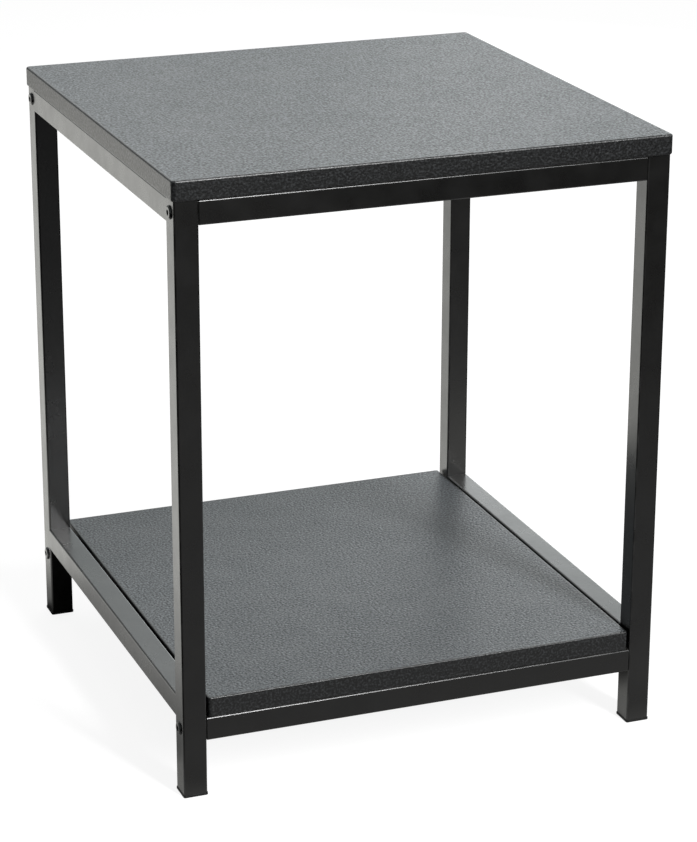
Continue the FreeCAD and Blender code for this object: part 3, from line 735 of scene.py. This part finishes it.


# %% [markdown]
# ## The studio floor
#
# The table stands on a pale floor that runs on into a white background. A black, satin object has hardly
# any colour of its own: it shows what it mirrors. A photographer therefore lays white card where a side
# has to look light, and black card where it has to stay dark. The floor paints both here, and only in
# reflections: Is Glossy Ray picks them out, and the camera always sees the same white floor. So both cards
# are painted reflections on the floor, not real cards.
#
# - **white card**: a painted glow in the floor's reflections, behind the table and on its left. The left
#   sides of the legs mirror it. It fades toward the table, which is a painted shadow of the table in the
#   reflections, so the legs darken toward their feet; just under the front edge it stays partly lit,
#   which is painted light.
# - **black card**: painted dark reflections in front on the left and all along the right, which draws a
#   dark line on the rounded corners of the tubes, and far in front, which the upper rail mirrors; deep
#   under the table it is painted shade in the reflections.
#
# The cards matter more than the paint does here: with a plain white floor and background in the
# reflections as well, the same paint gives front faces about twice as light. The cards are laid for a view
# from the front left, and from the other sides the frame looks nearly black.
#
# The shadow on the floor is a real one: only part of the floor's white comes from its own glow.

# %% Floor
FLOOR_SIZE = 16.0
HALF_TABLE = 0.2
FLOOR_GLOW = 0.885
# Glow of the white card: painted light, seen only in reflections.
PAINTED_REFLECTION_GLOW = 0.98
FLOOR_GREY = 0.25
# Grey of the black card: painted dark reflection and painted shade, seen only in reflections.
PAINTED_DARK_GREY = 0.015
bpy.ops.object.select_all(action="DESELECT")
bpy.ops.mesh.primitive_plane_add(size=FLOOR_SIZE, location=(0.0, 0.0, 0.0))
floor = bpy.context.object
floor.name = "floor"

floor_paint, tree, shader = open_material("floor_paint")
rays = add(tree, "ShaderNodeLightPath").outputs
place = add(tree, "ShaderNodeTexCoord").outputs["Object"]
across = add(tree, "ShaderNodeSeparateXYZ", {"Vector": place}).outputs

past_sides = []
for axis in "XY":
    past = maths(tree, "SUBTRACT", maths(tree, "ABSOLUTE", across[axis]), HALF_TABLE)
    past = largest(tree, past, 0.0)
    past_sides.append(times(tree, past, past))
from_table = maths(tree, "SQRT", maths(tree, "ADD", *past_sides))
print("the floor is", FLOOR_SIZE, "m wide")

# %% Black card: painted dark reflections, and painted shade deep under the table
inward = remap(tree, across["Y"], -0.14, -0.09)
# Painted shade: deep under the table the floor is made dark in reflections, standing in for the table's
# shadow.
painted_shade_under_table = times(tree, remap(tree, from_table, 0.02, 0.0), inward)
# Painted dark reflections: far in front, in front on the left, and along the right.
far_front = times(tree, remap(tree, across["Y"], -0.6, -1.3), remap(tree, across["X"], 0.15, 0.5, 0.5, 1.0))
diagonal = maths(tree, "ADD", across["X"], across["Y"])
left_front = times(tree, remap(tree, diagonal, -0.42, -0.52), remap(tree, across["X"], -0.21, -0.28))
slanted = maths(tree, "ADD", across["X"], times(tree, across["Y"], 0.386))
right_side = remap(tree, slanted, 0.32, 0.40)
# The black card is painted dark reflection and painted shade, shown only to glossy rays.
painted_dark_reflection_and_shade = largest(tree, painted_shade_under_table, far_front, left_front, right_side)
print("black card has 4 parts, of grey", PAINTED_DARK_GREY)

# %% White card: a painted glow in reflections, with a painted shadow of the table
# Painted light in reflections: just under the front edge the floor stays partly lit.
under_front_edge = times(tree, remap(tree, from_table, 0.04, 0.0, 0.0, 0.8), rest_of(tree, inward))
# Painted shadow: the glow fades toward the table, standing in for the table's shadow in reflections.
reflected_glow_with_painted_shadow = largest(tree, remap(tree, from_table, 0.02, 0.15, 0.2, 1.0, smooth=True), under_front_edge)
reflected_glow_with_painted_shadow = times(tree, reflected_glow_with_painted_shadow, remap(tree, across["Y"], -0.40, 0.10, smooth=True))
reflected_glow_with_painted_shadow = times(tree, reflected_glow_with_painted_shadow, rest_of(tree, painted_dark_reflection_and_shade))
print("white card glows with strength", PAINTED_REFLECTION_GLOW)

# %% Floor material
seen = times(tree, largest(tree, rays["Is Camera Ray"], rays["Is Transmission Ray"]), FLOOR_GLOW)
# The white card's painted glow and painted shadow, seen only in reflections.
mirrored = times(tree, times(tree, rays["Is Glossy Ray"], reflected_glow_with_painted_shadow), PAINTED_REFLECTION_GLOW)
glow_colour = blend_colours(tree, rays["Is Glossy Ray"], grey(1.0), grey(1.0, 1.0, 0.95))
# The black card's painted dark reflection and shade, for glossy rays only.
in_black = times(tree, rays["Is Glossy Ray"], painted_dark_reflection_and_shade)
paint = blend_colours(tree, in_black, grey(FLOOR_GREY), grey(PAINTED_DARK_GREY))
set_shader(
    tree,
    shader,
    {
        "Base Color": paint,
        "Emission Color": glow_colour,
        "Emission Strength": maths(tree, "ADD", seen, mirrored),
    },
    Roughness=0.9,
    Specular_IOR_Level=0.0,
)
floor.data.materials.append(floor_paint)
print("the floor seen by the camera glows with strength", FLOOR_GLOW)

# %% [markdown]
# ## The background
#
# The camera sees a plain white. Everything else gets a soft grey room light of strength 0.2. The boards
# lie flat and are seen at a low angle, so they mirror what stands behind the table: a wall that is
# lightest on the right and darkens to the left. That gives the top its slow change from left to right.

# %% World
AMBIENT = 0.2
TO_LIGHT_WALL = (0.87, 0.50, 0.0)
WALL_DARKEST = 0.3
WALL_LIGHTEST = 1.05
WHITE = 1.0
world = bpy.data.worlds.new("studio")
bpy.context.scene.world = world
world.use_nodes = True
tree = world.node_tree
rays = add(tree, "ShaderNodeLightPath").outputs
direction = add(tree, "ShaderNodeTexCoord").outputs["Generated"]
toward_wall = add(
    tree, "ShaderNodeVectorMath", {0: direction, 1: TO_LIGHT_WALL}, operation="DOT_PRODUCT"
).outputs["Value"]
wall = remap(tree, toward_wall, 0.30, 0.95, WALL_DARKEST, WALL_LIGHTEST, smooth=True)
wall = maths(tree, "MINIMUM", wall, WHITE)
seen = largest(tree, rays["Is Camera Ray"], rays["Is Transmission Ray"])
strength = maths(tree, "ADD", AMBIENT, times(tree, seen, WHITE - AMBIENT))
above_ambient = maths(tree, "SUBTRACT", wall, AMBIENT)
strength = maths(tree, "ADD", strength, times(tree, rays["Is Glossy Ray"], above_ambient))
hue = blend_colours(tree, rays["Is Glossy Ray"], grey(1.0), grey(1.0, 0.93, 1.0))
background = tree.nodes["Background"]
tree.links.new(hue, background.inputs["Color"])
tree.links.new(strength, background.inputs["Strength"])
print("room light:", AMBIENT)

# %% [markdown]
# ## The lamps
#
# - The **front strip** is tall and narrow, and stands on the right of the camera. The rounded upper
#   edges of the cross rails mirror it as a thin bright line, strongest on the left, because there the
#   edge turns the strip straight to the camera.
# - The **top box** hangs above and behind the table. It is wide and weak, fills in the upward faces, and
#   reaches the back of the shelf under the top board.
# - The **back box** stands low behind the table and to its right, where the boards and the tops of the
#   rails mirror it. It is weak as well, and adds to the slow change from left to right.

# %% Lamps
def softbox(name, width, height, azimuth, elevation, distance, radiance, aim=(0.0, 0.0, 0.25)):
    """A soft lamp. Azimuth 0 is in front of the table, and 90 on its right."""
    turn, lift = math.radians(azimuth), math.radians(elevation)
    away = Vector((math.sin(turn) * math.cos(lift), -math.cos(turn) * math.cos(lift), math.sin(lift)))
    lamp = bpy.data.lights.new(name, "AREA")
    lamp.shape = "RECTANGLE"
    lamp.size, lamp.size_y = width, height
    lamp.energy = radiance * math.pi * width * height
    holder = bpy.data.objects.new(name, lamp)
    holder.location = Vector(aim) + away * distance
    holder.rotation_euler = away.to_track_quat("Z", "Y").to_euler()
    holder.visible_camera = False
    bpy.context.scene.collection.objects.link(holder)
    print(name, "is", distance, "m away and", round(lamp.energy, 1), "W")


softbox("front_strip", 0.6, 3.0, azimuth=15.5, elevation=38.0, distance=4.4, radiance=39.0)
softbox("top_box", 1.4, 1.0, azimuth=175.0, elevation=44.0, distance=1.6, radiance=1.25)
softbox("back_box", 1.6, 0.8, azimuth=139.0, elevation=8.0, distance=2.6, radiance=1.45)
